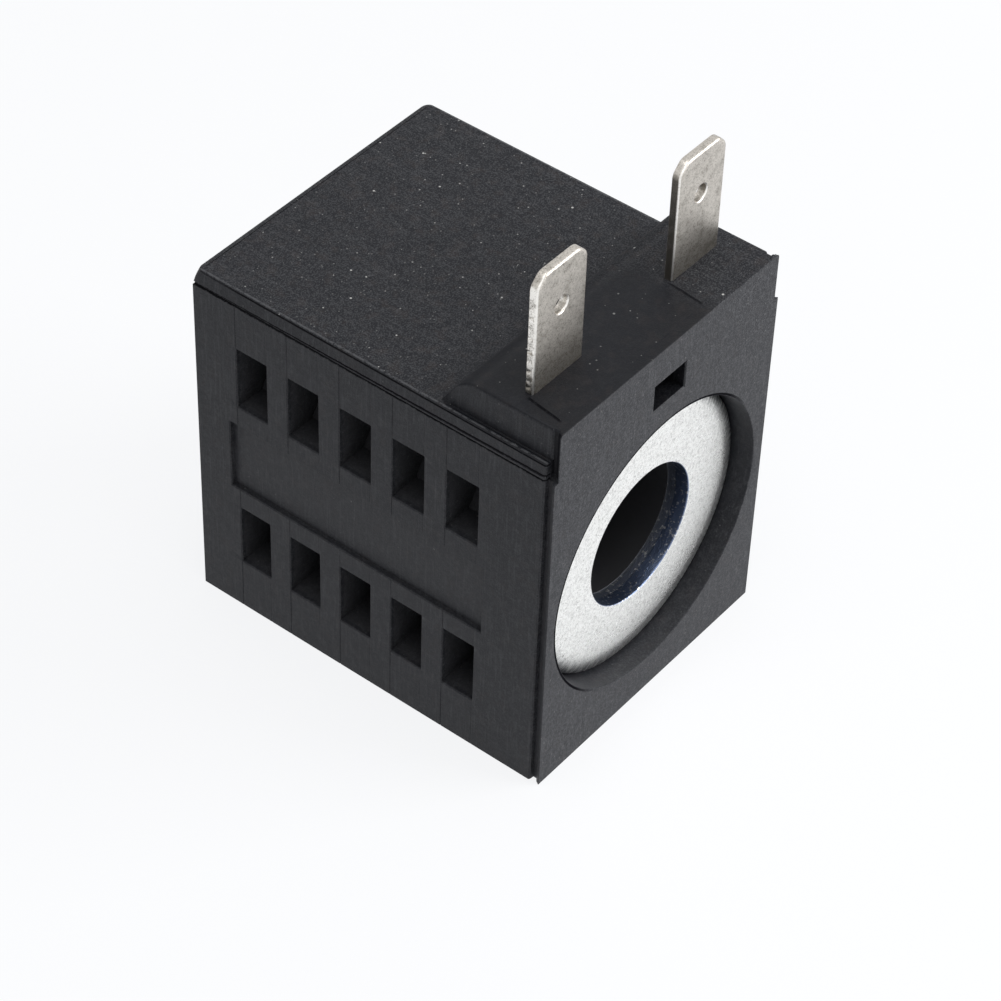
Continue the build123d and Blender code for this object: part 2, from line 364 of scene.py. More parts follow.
class Paint(Nodes):
    """One material's node tree, with its shader and output in place."""

    def __init__(self, name: str) -> None:
        """Makes the material.

        Args:
            name: the material's name.
        """
        self.material = bpy.data.materials.new(name)
        self.material.use_nodes = True
        super().__init__(self.material.node_tree)
        self.tree.nodes.clear()
        self.shader = self.tree.nodes.new("ShaderNodeBsdfPrincipled")
        self.output = self.tree.nodes.new("ShaderNodeOutputMaterial")
        self.tree.links.new(self.shader.outputs["BSDF"], self.output.inputs["Surface"])
        self.place = self.node("ShaderNodeTexCoord", {}, {}, ("Object",))[0]

    def set(self, **values: object) -> None:
        """Feeds the shader's own sockets; a name's underscores stand for spaces."""
        for key, value in values.items():
            self._feed(self.shader.inputs[key.replace("_", " ")], value)

    def blend(self, share: Wire, other: Wire) -> None:
        """Shows another shader in place of this one by a share from 0 to 1."""
        values = {0: share, 1: Wire(self, self.shader.outputs["BSDF"]), 2: other}
        mixed = self.node("ShaderNodeMixShader", {}, values)[0]
        self.tree.links.new(mixed.socket, self.output.inputs["Surface"])

    def scaled(self, stretch: tuple[float, float, float]) -> Wire:
        """The place on the object, multiplied along each axis."""
        return self.node("ShaderNodeVectorMath", {"operation": "MULTIPLY"}, {0: self.place, 1: stretch})[0]

    def noise(self, size: float, detail: float = 2.0, stretch: tuple[float, float, float] = (1.0, 1.0, 1.0),
              rough: float = 0.5, place: Optional[Wire] = None) -> Wire:
        """Noise from 0 to 1 whose features are about size millimetres.

        Args:
            size: feature size in millimetres.
            detail: octaves.
            stretch: factor on each axis; below 1 draws features out along it.
            rough: weight of the finer octaves.
            place: a vector in metres that stands for the place on the object.

        Returns:
            The noise value.
        """
        values = {"Vector": place or self.scaled(stretch), "Scale": 1.0 / (size * MM), "Detail": detail,
                  "Roughness": rough}
        return self.node("ShaderNodeTexNoise", {"noise_dimensions": "3D"}, values, ("Fac",))[0]

    def dots(self, spacing: float, radius: float, share: float, shift: float = 0.0) -> Wire:
        """Small round specks, one at most in each cell of a random grid.

        A cell's speck is drawn where the distance to its point is under a radius that varies from cell to
        cell, and only in the given share of the cells.

        Args:
            spacing: cell size in millimetres.
            radius: largest radius in millimetres.
            share: share of the cells that hold a speck.
            shift: offset that gives another set of specks.

        Returns:
            Mask from 0 to 1.
        """
        offset = (shift, shift, shift)
        moved = self.node("ShaderNodeVectorMath", {"operation": "ADD"}, {0: self.place, 1: offset})[0]
        distance, tint = self.node(
            "ShaderNodeTexVoronoi", {"feature": "F1"},
            {"Vector": moved, "Scale": 1.0 / (spacing * MM), "Randomness": 1.0}, ("Distance", "Color"))
        first, second = self.node("ShaderNodeSeparateColor", {}, {0: tint}, (0, 1))
        size = second * (0.7 * radius / spacing) + 0.3 * radius / spacing
        return (distance / size).ramp(1.0, 0.55) * first.ramp(1.0 - share, 1.0 - share + 0.01)

    def mix(self, share: Value, first: Union[Wire, Colour], second: Union[Wire, Colour]) -> Wire:
        """Colour between two colours by a share from 0 to 1."""
        return self.node("ShaderNodeMix", {"data_type": "RGBA"}, {0: share, 6: first, 7: second}, (2,))[0]

    def bump(self, height: Wire, depth: float, normal: Optional[Wire] = None) -> Wire:
        """Normal bent by a height.

        Args:
            height: height from 0 to 1.
            depth: depth of a full step in millimetres.
            normal: a normal that is already bent.

        Returns:
            The bent normal.
        """
        values: dict = {"Height": height, "Distance": depth * MM, "Strength": 1.0}
        if normal is not None:
            values["Normal"] = normal
        return self.node("ShaderNodeBump", {}, values, ("Normal",))[0]

    def axes(self) -> tuple[Wire, ...]:
        """X, y and z of the place on the object, in millimetres."""
        place = self.scaled((1.0 / MM, 1.0 / MM, 1.0 / MM))
        return self.node("ShaderNodeSeparateXYZ", {}, {0: place}, (0, 1, 2))

    def facing(self, axis: int, sign: float) -> Wire:
        """Part of the surface's direction along an axis, times the sign, kept from 0 to 1."""
        normal = self.node("ShaderNodeNewGeometry", {}, {}, ("Normal",))[0]
        return (self.node("ShaderNodeSeparateXYZ", {}, {0: normal}, (axis,))[0] * sign).clamped()


# Finishes


class Finish:
    """A look that can be made into a material."""

    def make(self, name: str) -> bpy.types.Material:
        """Builds the material.

        Args:
            name: the material's name.

        Returns:
            The material.
        """
        paint = Paint(name)
        self.apply(paint)
        return paint.material

    def apply(self, paint: Paint) -> None:
        """Adds the look's nodes to a new material."""
        raise NotImplementedError


@dataclass(frozen=True)
class MouldedPlastic(Finish):
    """Black glass-filled plastic: rough grained top, smoother block and sides, specks of dust.

    A span is the place in millimetres where a zone starts and the one where it is full.
    """

    side: Colour = (0.0135, 0.0142, 0.0175)
    top: Colour = (0.0080, 0.0087, 0.0117)
    block: Colour = (0.0035, 0.0041, 0.0065)
    inner: Colour = (0.0280, 0.0285, 0.0320)
    grey: Colour = (0.075, 0.077, 0.083)
    brown: Colour = (0.040, 0.032, 0.030)
    speck: Colour = (0.46, 0.46, 0.45)
    # painted shade laid into the seams and crevices, not a colour of the plastic
    painted_crevice_shade: Colour = (0.0065, 0.0065, 0.0078)
    skin_side: Span = (14.3, 14.4)
    skin_rear: Span = (18.0, 18.3)
    skin_front: Span = (-18.3, -17.9)
    upper_seam: float = 34.735
    lower_seam: float = 34.44
    seam_slope: float = 0.23 / 37.6
    seam_drift: float = 0.3
    brow: float = 35.90
    brow_end: Span = (17.5, 13.0)
    wide_line: Span = (0.12, 0.05)
    fine_line: Span = (0.11, 0.05)
    lip_front: Span = (-18.74, -18.68)
    lip_rear: Span = (-17.88, -17.92)
    lip_side: Span = (13.9, 14.05)
    lip_low: Span = (34.6, 34.8)
    lip_high: Span = (39.27, 39.22)
    mark_rear: Span = (-14.0, -14.3)
    mark_front: Span = (-17.9, -17.6)
    block_level: Span = (39.0, 39.2)
    left_mark: tuple[float, float, float] = (-12.58, -14.0, 0.147)
    left_line: Span = (0.14, 0.07)
    right_mark: tuple[float, float, float] = (5.55, -14.2, 0.1)
    right_line: Span = (0.1, 0.05)
    axis_height: float = 17.2
    ring_inner: Span = (13.68, 13.72)
    ring_outer: Span = (13.95, 13.87)
    ring_upper_left: Span = (-6.0, 2.0)
    ring_face: Span = (-18.6, -18.7)
    top_level: Span = (35.0, 35.9)
    ramp_level: Span = (36.15, 36.4)
    dark_foot: Span = (-5.5, -9.5)
    dark_side: Span = (7.2, 3.5)
    foot_bend: float = 3.0
    inner_side: Span = (14.7, 14.3)
    inner_ends: Span = (14.9, 14.6)
    inner_high: Span = (34.3, 34.2)
    slot_side: Span = (2.3, 2.2)
    slot_front: Span = (-18.7, -18.6)
    slot_rear: Span = (-14.5, -14.7)
    slot_low: Span = (33.0, 33.2)
    slot_high: Span = (36.06, 36.0)
    # where the painted highlight along the top's side edges lies
    highlight_inner: Span = (14.52, 14.6)
    highlight_outer: Span = (14.76, 14.7)
    highlight_level: Span = (36.02, 36.07)

    def _crevices(self, across: Wire, along: Wire, height: Wire, waver: Wire) -> Wire:
        """Share of painted shade, a dull dark diffuse, in the seams, at the top edge, the lip's groove, the
        block and the pocket.

        Each line is a band about its own height, x or radius; the noise makes its border waver.

        Args:
            across: x of the place.
            along: y of the place.
            height: z of the place.
            waver: noise from 0 to 1.

        Returns:
            Mask from 0 to 1.
        """
        side = across.absolute()
        drift = (waver - 0.5) * self.seam_drift
        upper = (height + along * self.seam_slope - self.upper_seam + drift).absolute().ramp(*self.wide_line)
        lower = (height - self.lower_seam - drift).absolute().ramp(*self.fine_line)
        brow = (height - self.brow).absolute().ramp(*self.fine_line) * along.ramp(*self.brow_end)
        outer = side.ramp(*self.skin_side).most(along.ramp(*self.skin_rear)) * along.ramp(*self.skin_front)
        seams = upper.most(lower).most(brow * waver.ramp(0.25, 0.45)) * outer
        lip = within((along, self.lip_front), (along, self.lip_rear), (height, self.lip_low),
                     (side, self.lip_side), (height, self.lip_high))
        marks = []
        for (x, y, slope), line in ((self.left_mark, self.left_line), (self.right_mark, self.right_line)):
            marks.append((across - x - (along - y) * slope).absolute().ramp(*line))
        mark = marks[0].most(marks[1] * 0.7) * waver.ramp(0.3, 0.5)
        mark = mark * within((along, self.mark_rear), (along, self.mark_front), (height, self.block_level))
        rise = height - self.axis_height
        radius = (across * across + rise * rise) ** 0.5
        # painted shade of the pocket's rounded rim, on its upper left
        ring = within((radius, self.ring_inner), (radius, self.ring_outer),
                      (rise - across, self.ring_upper_left), (along, self.ring_face))
        return (seams * 0.85 + lip * 0.8 + mark * 0.8 + ring).clamped()

    def apply(self, paint: Paint) -> None:
        """Adds the plastic's nodes.

        The block is darker and smoother than the main top around the left blade and in the middle. Its right
        part keeps the grain. Walls inside the windows are plain. A painted highlight, broken by noise, runs
        along the top's edges. Painted shade darkens the seams, crevices and the slot.

        Args:
            paint: the material's tree.
        """
        across, along, height = paint.axes()
        side = across.absolute()
        up = paint.facing(2, 1.0).ramp(0.35, 0.75) * height.ramp(*self.top_level)
        front = paint.facing(1, -1.0).ramp(0.6, 0.9)
        ramp = paint.facing(1, 1.0).ramp(0.1, 0.5) * height.ramp(*self.ramp_level)
        tint = paint.noise(1.1, 3.0)
        cloud = paint.noise(5.0, 3.0)
        foot = along + (across + self.foot_bend).most(0.0) * 0.35 + (cloud - 0.5) * self.foot_bend
        block = up * foot.ramp(*self.dark_foot) * across.ramp(*self.dark_side)
        top = up * (1.0 - block)
        inner = within((side, self.inner_side), (along.absolute(), self.inner_ends),
                       (height, self.inner_high))
        slot = within((side, self.slot_side), (along, self.slot_front), (along, self.slot_rear),
                      (height, self.slot_low), (height, self.slot_high))
        rim = within((side, self.highlight_inner), (side, self.highlight_outer), (height, self.highlight_level))
        grain = paint.noise(0.13, 1.0, rough=0.7)
        coarse = paint.noise(0.4, 4.0, rough=0.8)
        mottle = paint.noise(0.9, 3.0, rough=0.7)
        streak = paint.noise(0.25, 3.0, (1.0, 1.0, 0.07))
        scratch = paint.noise(0.2, 2.0, (1.0, 0.05, 1.0))
        base = paint.mix(up, self.side, self.top)
        # the slot's share here is painted shade in its recess
        base = paint.mix((block + ramp * 0.7 + slot).clamped(), base, self.block)
        base = paint.mix(inner, base, self.inner)
        base = paint.mix(tint.ramp(0.5, 0.7) * (up * 0.2 + 0.12) * (1.0 - block * 0.6), base, self.brown)
        wear_and_painted_light = grain.ramp(0.48, 0.60) * (top * 0.33 + front * 0.26 + 0.13)
        wear_and_painted_light = wear_and_painted_light + coarse.ramp(0.5, 0.62) * (front * 0.16 + 0.12 - up * 0.03)
        wear_and_painted_light = wear_and_painted_light + mottle.ramp(0.45, 0.65) * 0.09
        wear_and_painted_light = wear_and_painted_light + streak.ramp(0.5, 0.7) * (1.0 - up) * 0.18 + scratch.ramp(0.54, 0.66) * top * 0.14
        # the top edge's share is a painted highlight; the rest is the plastic's grain and wear
        wear_and_painted_light = wear_and_painted_light * (1.0 - block * 0.65) + rim * coarse.ramp(0.35, 0.55)
        colour = paint.mix(wear_and_painted_light.clamped(), base, self.grey)
        lint = paint.dots(1.3, 0.14, 0.4) * (up * 0.9 + 0.1) * (1.0 - block * 0.6)
        dust = paint.dots(0.7, 0.11, 0.45, 0.31) * (top * 0.5 + up * 0.25 + 0.1)
        powder = paint.dots(0.4, 0.1, 0.35, 0.17) * (top * 0.6 + front * 0.3)
        colour = paint.mix((lint + dust * 0.7 + powder * 0.4).clamped(), colour, self.speck)
        rough = top * 0.1 + ramp * 0.25 + grain * 0.12 + streak * 0.08 + 0.4
        paint.set(Base_Color=colour, Roughness=rough.clamped(), IOR=1.45, Specular_IOR_Level=0.2)
        fine = paint.bump(coarse, 0.014, paint.bump(grain, 0.014))
        paint.set(Normal=paint.bump(lint + dust, 0.02, paint.bump(streak, 0.006, fine)))
        # painted shade: a dull dark diffuse over the seams and crevices, and half over the slot's recess
        dull = paint.node("ShaderNodeBsdfDiffuse", {}, {"Color": self.painted_crevice_shade})[0]
        paint.blend((self._crevices(across, along, height, coarse) + slot * 0.5).clamped(), dull)


@dataclass(frozen=True)
class ZincPlate(Finish):
    """Zinc plating: fine bright speckle on the face; rim streaks and a blued, smooth hole, both partly
    painted shade.
    """

    base: Colour = (0.94, 0.945, 0.93)
    stain: Colour = (0.30, 0.30, 0.29)
    # dark rim colour: partly streak marks on the rolled edge, partly painted shade for the dark pocket wall
    # it mirrors
    rim: Colour = (0.20, 0.21, 0.22)
    # hole wall colours: the blue tint and the torn band are real, their darkness is partly painted shade of
    # the deep bore
    blued_and_shaded: Colour = (0.14, 0.18, 0.28)
    torn: Colour = (0.17, 0.19, 0.24)
    flaked: Colour = (0.80, 0.80, 0.80)
    axis_height: float = 17.2
    hole_wall: Span = (6.79, 6.75)
    torn_part: Span = (15.79, 15.69)
    edge: Span = (11.75, 13.25)
    streaked: Span = (11.75, 13.35)
    streak_drift: float = 1.4
    turn_stretch: float = 12.0

    def apply(self, paint: Paint) -> None:
        """Adds the plating's nodes.

        The zones follow the distance from the bore axis, sqrt(x^2 + (z - height)^2), and the depth along it.

        Args:
            paint: the material's tree.
        """
        x, y, z = paint.axes()
        rise = z - self.axis_height
        radius = (x * x + rise * rise) ** 0.5
        wall = radius.ramp(*self.hole_wall)
        rough_wall = wall * y.absolute().ramp(*self.torn_part)
        edge = radius.ramp(*self.edge)
        grain = paint.noise(0.17, 2.0, rough=0.8)
        flake = paint.noise(0.4, 3.0, rough=0.7)
        blotch = paint.noise(2.2, 4.0, rough=0.6)
        pits = paint.dots(0.5, 0.1, 0.35)
        marks = grain.ramp(0.46, 0.62) * 0.34 + flake.ramp(0.5, 0.66) * 0.24 + blotch.ramp(0.55, 0.85) * 0.16
        colour = paint.mix((marks + pits * 0.4).clamped(), self.base, self.stain)
        turn = self.turn_stretch * MM
        spoke = paint.node("ShaderNodeCombineXYZ", {}, {0: x / radius * turn, 1: rise / radius * turn,
                                                        2: radius * (0.12 * MM)})[0]
        strokes = paint.noise(0.2, 3.0, rough=0.7, place=spoke)
        # dark streaks round the rim: partly marks, partly painted shade
        streaks_and_shade = (radius + (flake - 0.5) * self.streak_drift).ramp(*self.streaked) * strokes.ramp(0.4, 0.55)
        colour = paint.mix((streaks_and_shade * 0.95).clamped(), colour, self.rim)
        colour = paint.mix(wall, colour, self.blued_and_shaded)
        colour = paint.mix(rough_wall, colour, self.torn)
        colour = paint.mix(wall * flake.ramp(0.55, 0.68), colour, self.flaked)
        rough = grain * 0.16 + blotch * 0.08 + 0.17 + wall * 0.05 + rough_wall * 0.1 + edge * 0.06
        paint.set(Base_Color=colour, Metallic=1.0, Roughness=rough.clamped())
        paint.set(Normal=paint.bump(1.0 - pits, 0.02, paint.bump(flake, 0.02, paint.bump(grain, 0.035))))


@dataclass(frozen=True)
class TinPlate(Finish):
    """Dull tin plating over rolled brass strip, granular, with darker pits and handling marks, and painted
    light on edges and foot.
    """

    base: Colour = (0.53, 0.50, 0.46)
    # colour of pits and handling marks, also laid as painted shade at the foot and on the right blade's
    # sheared side
    wear_and_painted_light: Colour = (0.20, 0.185, 0.16)
    pale: Colour = (0.66, 0.63, 0.58)
    # painted highlight for the left blade's sheared side and the bevels
    painted_highlight: Colour = (0.92, 0.90, 0.86)
    left_half: Span = (0.0, -1.0)
    # painted shade: darker towards the blade's foot, where it mirrors the dark casing
    foot: Span = (43.5, 39.3)

    def apply(self, paint: Paint) -> None:
        """Adds the tin's nodes: a painted highlight on the left blade's sheared side and the bevels, painted
        shade towards the foot and on the right blade's sheared side.

        Args:
            paint: the material's tree.
        """
        grain = paint.noise(0.13, 3.0, rough=0.7)
        rolled = paint.noise(0.14, 2.0, (1.0, 1.0, 0.1), 0.6)
        blotch = paint.noise(1.1, 4.0, rough=0.65)
        spots = paint.dots(0.5, 0.13, 0.5)
        across, _, height = paint.axes()
        sheared = paint.facing(0, -1.0).ramp(0.8, 0.95)
        left = across.ramp(*self.left_half)
        bevel = paint.facing(0, -1.0).ramp(0.3, 0.5) * paint.facing(1, -1.0).ramp(0.3, 0.5)
        colour = paint.mix(grain.ramp(0.5, 0.75) * 0.7, self.base, self.pale)
        colour = paint.mix(sheared * left, colour, self.painted_highlight)
        colour = paint.mix(bevel, colour, self.painted_highlight)
        # the foot's share and the right blade's sheared side are painted shade
        marks = grain.ramp(0.48, 0.38) * 0.55 + blotch.ramp(0.45, 0.7) * 0.45 + rolled * 0.15 + spots * 0.6
        marks = (marks + height.ramp(*self.foot) * 0.55) * (1.0 - bevel * 0.7) + sheared * (1.0 - left) * 0.7
        colour = paint.mix(marks.clamped(), colour, self.wear_and_painted_light)
        paint.set(Base_Color=colour, Metallic=1.0, Roughness=grain * 0.16 + blotch * 0.14 + 0.22)
        paint.set(Normal=paint.bump(rolled, 0.004, paint.bump(grain, 0.02)))


@dataclass(frozen=True)
class PlainFinish(Finish):
    """Plastic, film or metal of one colour with a light mottle, for pieces inside the casing."""

    base: Colour
    dark: Colour
    metal: float = 0.0
    roughness: float = 0.45
    grain: float = 0.2

    def apply(self, paint: Paint) -> None:
        """Adds the mottle's nodes.

        Args:
            paint: the material's tree.
        """
        mottle = paint.noise(self.grain, 3.0)
        paint.set(Base_Color=paint.mix(mottle, self.base, self.dark), Metallic=self.metal,
                  Roughness=mottle * 0.15 + self.roughness - 0.07)
        paint.set(Normal=paint.bump(mottle, 0.008))


# Sub-assemblies


@dataclass
class Casing:
    """Over-moulded casing as one closed shell: a section carried along y, two end faces and the core."""

    width: float = 30.0
    length: float = 37.6
    height: float = 36.1
    ledge: float = 34.36
    strip_inset: float = 0.13
    strip_inset_rear: float = 0.03
    strip_lean_rear: float = 0.16
    land_inset: float = 0.03
    seam_depth: float = 0.18
    seam_half: float = 0.08
    seam_low: float = 34.62
    seam_high: float = 34.85
    top_round: float = 0.25
    rear_round: float = 0.6
    edge_flatness: float = 0.4
    crevice: float = 0.12
    crevice_half: float = 0.065
    crevice_lip: float = 0.02
    top_corner: float = 1.0
    low_corner: float = 0.1
    block_rise: float = 3.2
    block_end: float = -6.9
    block_ramp: float = 2.0
    block_side: float = 14.17
    block_round: float = 0.32
    crest_round: float = 3.0
    gutter_width: float = 0.3
    gutter_depth: float = 0.12
    lip: float = 0.4
    lip_inset: float = 0.05
    lip_block_inset: float = 0.55
    lip_edge: float = 0.04
    lip_flare: float = 0.22
    groove: float = 0.48
    groove_side: float = 0.45
    groove_top: float = 0.03
    ridge: float = 0.12
    ridge_top: float = 0.02
    chamfer: float = 0.1
    axis_height: float = 17.2
    jacket: float = 13.4
    core: float = 12.4
    pocket: float = 13.65
    pocket_depth: float = 3.9
    pocket_round: float = 0.12
    window_width: float = 3.3
    window_height: float = 6.4
    window_limit: float = 8.8
    window_mid: float = 1.4
    window_pitch: float = 5.6
    window_count: int = 5
    row_mid: float = 17.6
    rows_apart: float = 18.05
    panel_start: float = -12.1
    panel_end: float = 15.2
    panel_height: float = 7.35
    panel_depth: float = 0.5
    slot_width: float = 4.1
    slot_bottom: float = 33.25
    slot_top: float = 35.95
    slot_depth: float = 3.88
    line_half: float = 0.05
    line_depth: float = 0.05
    faint_line_depth: float = 0.025
    finish: MouldedPlastic = field(default_factory=MouldedPlastic)

    @property
    def front(self) -> float:
        """Y of the front face."""
        return -self.length / 2

    @property
    def rear(self) -> float:
        """Y of the rear face."""
        return self.length / 2

    @property
    def half(self) -> float:
        """Half of the width."""
        return self.width / 2

    @property
    def block_top(self) -> float:
        """Z of the block's flat top."""
        return self.height + self.block_rise

    @property
    def corner_reach(self) -> float:
        """How far the rear corner's circle stands in from the body's sides at the ledge."""
        return self.strip_inset_rear + self.low_corner

    def window_edges(self) -> np.ndarray:
        """Y of each window's front and rear edge, as a count by 2 array."""
        number = np.arange(self.window_count) - (self.window_count - 1) / 2
        middle = self.window_mid + self.window_pitch * number
        return np.stack([middle - self.window_width / 2, middle + self.window_width / 2], axis=1)

    def row_edges(self) -> np.ndarray:
        """Z of each window row's lower and upper edge, as a 2 by 2 array."""
        middle = self.row_mid + self.rows_apart * np.array([-0.5, 0.5])
        return np.stack([middle - self.window_height / 2, middle + self.window_height / 2], axis=1)

    def panel_edges(self) -> tuple[np.ndarray, np.ndarray]:
        """Low and high y, and low and high z, of the panel, each as a 1 by 2 array."""
        return (np.array([[self.panel_start, self.panel_end]]),
                self.row_mid + self.panel_height / 2 * np.array([[-1.0, 1.0]]))

    def outside(self, y: np.ndarray, z: np.ndarray, ys: np.ndarray, zs: np.ndarray) -> np.ndarray:
        """Distance from points to rectangles: the larger of the overshoots in y and z, under 0 inside.

        Args:
            y: y of the points.
            z: z of the points.
            ys: low and high y of each rectangle.
            zs: low and high z of each rectangle.

        Returns:
            The smallest distance to any of the rectangles.
        """
        over_y = np.abs(y[..., None] - ys.mean(axis=1)) - (ys[:, 1] - ys[:, 0]) / 2
        over_z = np.abs(z[..., None] - zs.mean(axis=1)) - (zs[:, 1] - zs[:, 0]) / 2
        return np.maximum(over_y.min(axis=-1), over_z.min(axis=-1))

    def face_depth(self, y: np.ndarray, z: np.ndarray) -> np.ndarray:
        """Depth of the side face's skin below the flat side.

        A rim at 45 degrees falls to the chamfer's depth at each window's and the panel's edge. A shallow
        notch runs down at each window's rear edge and a fainter one at its front edge.

        Args:
            y: y of the points.
            z: z of the points.

        Returns:
            The depth at each point.
        """
        windows = self.outside(y, z, self.window_edges(), self.row_edges())
        panel = self.outside(y, z, *self.panel_edges())
        rim = self.chamfer - np.minimum(windows, panel)
        edges = self.window_edges()
        front_line = 1.0 - np.abs(y[..., None] - edges[:, 0]).min(axis=-1) / self.line_half
        rear_line = 1.0 - np.abs(y[..., None] - edges[:, 1]).min(axis=-1) / self.line_half
        line = np.maximum(front_line * self.faint_line_depth, rear_line * self.line_depth)
        return np.maximum(np.clip(rim, 0.0, self.chamfer), np.clip(line, 0.0, None))

    def floor_depth(self, z: np.ndarray) -> np.ndarray:
        """Depth of a window's floor, which is the core's round jacket: half width - sqrt(R^2 - dz^2)."""
        reach = np.clip(self.jacket ** 2 - (z - self.axis_height) ** 2, 0.0, None)
        return np.minimum(self.half - np.sqrt(reach), self.window_limit)

    def crest(self) -> tuple[float, float]:
        """Y of both ends of the block's rounded crest: where its flat top ends and where the ramp begins.

        With the ramp at the angle a, they lie R tan(a / 2) from the corner, on the flat and on the ramp.
        """
        angle = math.atan2(self.block_rise, self.block_ramp)
        reach = self.crest_round * math.tan(angle / 2.0)
        peak = self.block_end - self.block_ramp
        return peak - reach, peak + reach * math.cos(angle)

    def y_stations(self) -> np.ndarray:
        """Y of the section's stations from behind the front groove to the start of the rear corners."""
        edges = self.window_edges()
        rims = [edges[:, 0] - self.chamfer, edges[:, 1] + self.chamfer]
        lines = [edges + offset for offset in (-self.line_half, 0.0, self.line_half)]
        panel = np.array([self.panel_start - self.chamfer, self.panel_start, self.panel_end,
                          self.panel_end + self.chamfer])
        block = np.append(np.linspace(*self.crest(), 13), self.block_end)
        start = np.array([self.front + self.lip + self.groove + 1.5 * self.ridge])
        parts = [start, panel, block, *[np.ravel(p) for p in (*rims, *lines)]]
        return np.unique(np.round(np.concatenate(parts), 6))

    def z_stations(self) -> np.ndarray:
        """Z of the side face's rows from the bottom to the ledge."""
        rows = self.row_edges()
        inner = [np.linspace(low, high, 13) for low, high in rows]
        rims = [rows[:, 0] - self.chamfer, rows[:, 1] + self.chamfer]
        low, high = self.panel_edges()[1][0]
        panel = np.array([low - self.chamfer, low, high, high + self.chamfer])
        ends = np.array([0.0, self.ledge])
        return np.unique(np.round(np.concatenate([*inner, *rims, panel, ends]), 6))

    def build(self) -> bpy.types.Object:
        """Builds the casing and puts it in place of its CAD node.

        Returns:
            The casing.
        """
        shell = Shell()
        self._sides(shell)
        self._middle(shell)
        self._end_faces(shell)
        self._slot(shell)
        self._core(shell)
        return place(shell, "casing_shell", self.finish.make("moulded plastic"), "casing_plastic", ["casing"])

    def _sides(self, shell: Shell) -> None:
        """Adds both sides: windows, panel, the strips above them, the lip and the rear corners."""
        ys, zs = self.y_stations(), self.z_stations()
        y, z = np.meshgrid(ys, zs, indexing="ij")
        cell_y, cell_z = np.meshgrid((ys[:-1] + ys[1:]) / 2, (zs[:-1] + zs[1:]) / 2, indexing="ij")
        in_window = self.outside(cell_y, cell_z, self.window_edges(), self.row_edges()) < 0
        in_panel = self.outside(cell_y, cell_z, *self.panel_edges()) < 0
        kind = np.where(in_window, 2, np.where(in_panel, 1, 0))
        depths = [self.face_depth(y, z), np.full(y.shape, self.panel_depth), self.floor_depth(z)]
        layers = self.half - np.stack(depths)
        upper = self._upper(ys)
        spread = np.broadcast_to(ys[:, None], upper.shape[:2])
        rings = [np.insert(line, 1, at, axis=1) for line, at in self._lip_rings()]
        corner, column, ledge = self._corner()
        for side in Side:
            way = np.array([side.value, 1.0, 1.0])
            for number in range(3):
                shell.grid(np.stack([layers[number], y, z], axis=-1) * way, kind == number)
            self._walls(shell, layers, kind, y, z, side)
            shell.grid(np.stack([upper[..., 0], spread, upper[..., 1]], axis=-1) * way)
            for part in (np.stack(rings), corner, column, ledge):
                shell.grid(part * way)

    def _walls(self, shell: Shell, layers: np.ndarray, kind: np.ndarray, y: np.ndarray, z: np.ndarray,
               side: Side) -> None:
        """Adds the walls between neighbouring cells of different depth.

        Args:
            shell: the shell that takes them.
            layers: x of each kind of skin at the grid's points.
            kind: each cell's kind.
            y: y of the grid's points.
            z: z of the grid's points.
            side: the side that is built.
        """
        for axis in (0, 1):
            first, second = (kind[:-1], kind[1:]) if axis == 0 else (kind[:, :-1], kind[:, 1:])
            rows, columns = np.nonzero(first != second)
            near = (rows + 1, columns) if axis == 0 else (rows, columns + 1)
            far = (rows + 1, columns + 1)
            a, b = first[rows, columns], second[rows, columns]
            corners = [np.stack([side.value * layers[layer, end[0], end[1]], y[end], z[end]], axis=-1)
                       for layer, end in ((a, near), (a, far), (b, far), (b, near))]
            shell.add(np.stack(corners, axis=1), np.arange(len(rows) * 4).reshape(-1, 4))

    def _rise(self, y: np.ndarray) -> np.ndarray:
        """Height of the block above the main top.

        The ramp is a straight line from the block's foot. The crest is rise - R + sqrt(R^2 - d^2), with d the
        distance behind the end of the flat top.

        Args:
            y: the stations.

        Returns:
            The height at each.
        """
        flat, straight = self.crest()
        behind = np.clip(y - flat, 0.0, straight - flat)
        crest = self.block_rise - self.crest_round + np.sqrt(self.crest_round ** 2 - behind ** 2)
        ramp = (self.block_end - y) * self.block_rise / self.block_ramp
        return np.clip(np.where(y < straight, crest, ramp), 0.0, self.block_rise)

    def _seam(self, y: np.ndarray) -> np.ndarray:
        """Z of the upper seam above the ledge, which climbs in a straight line from the rear to the front."""
        return self.seam_low + (self.seam_high - self.seam_low) * (self.rear - y) / self.length

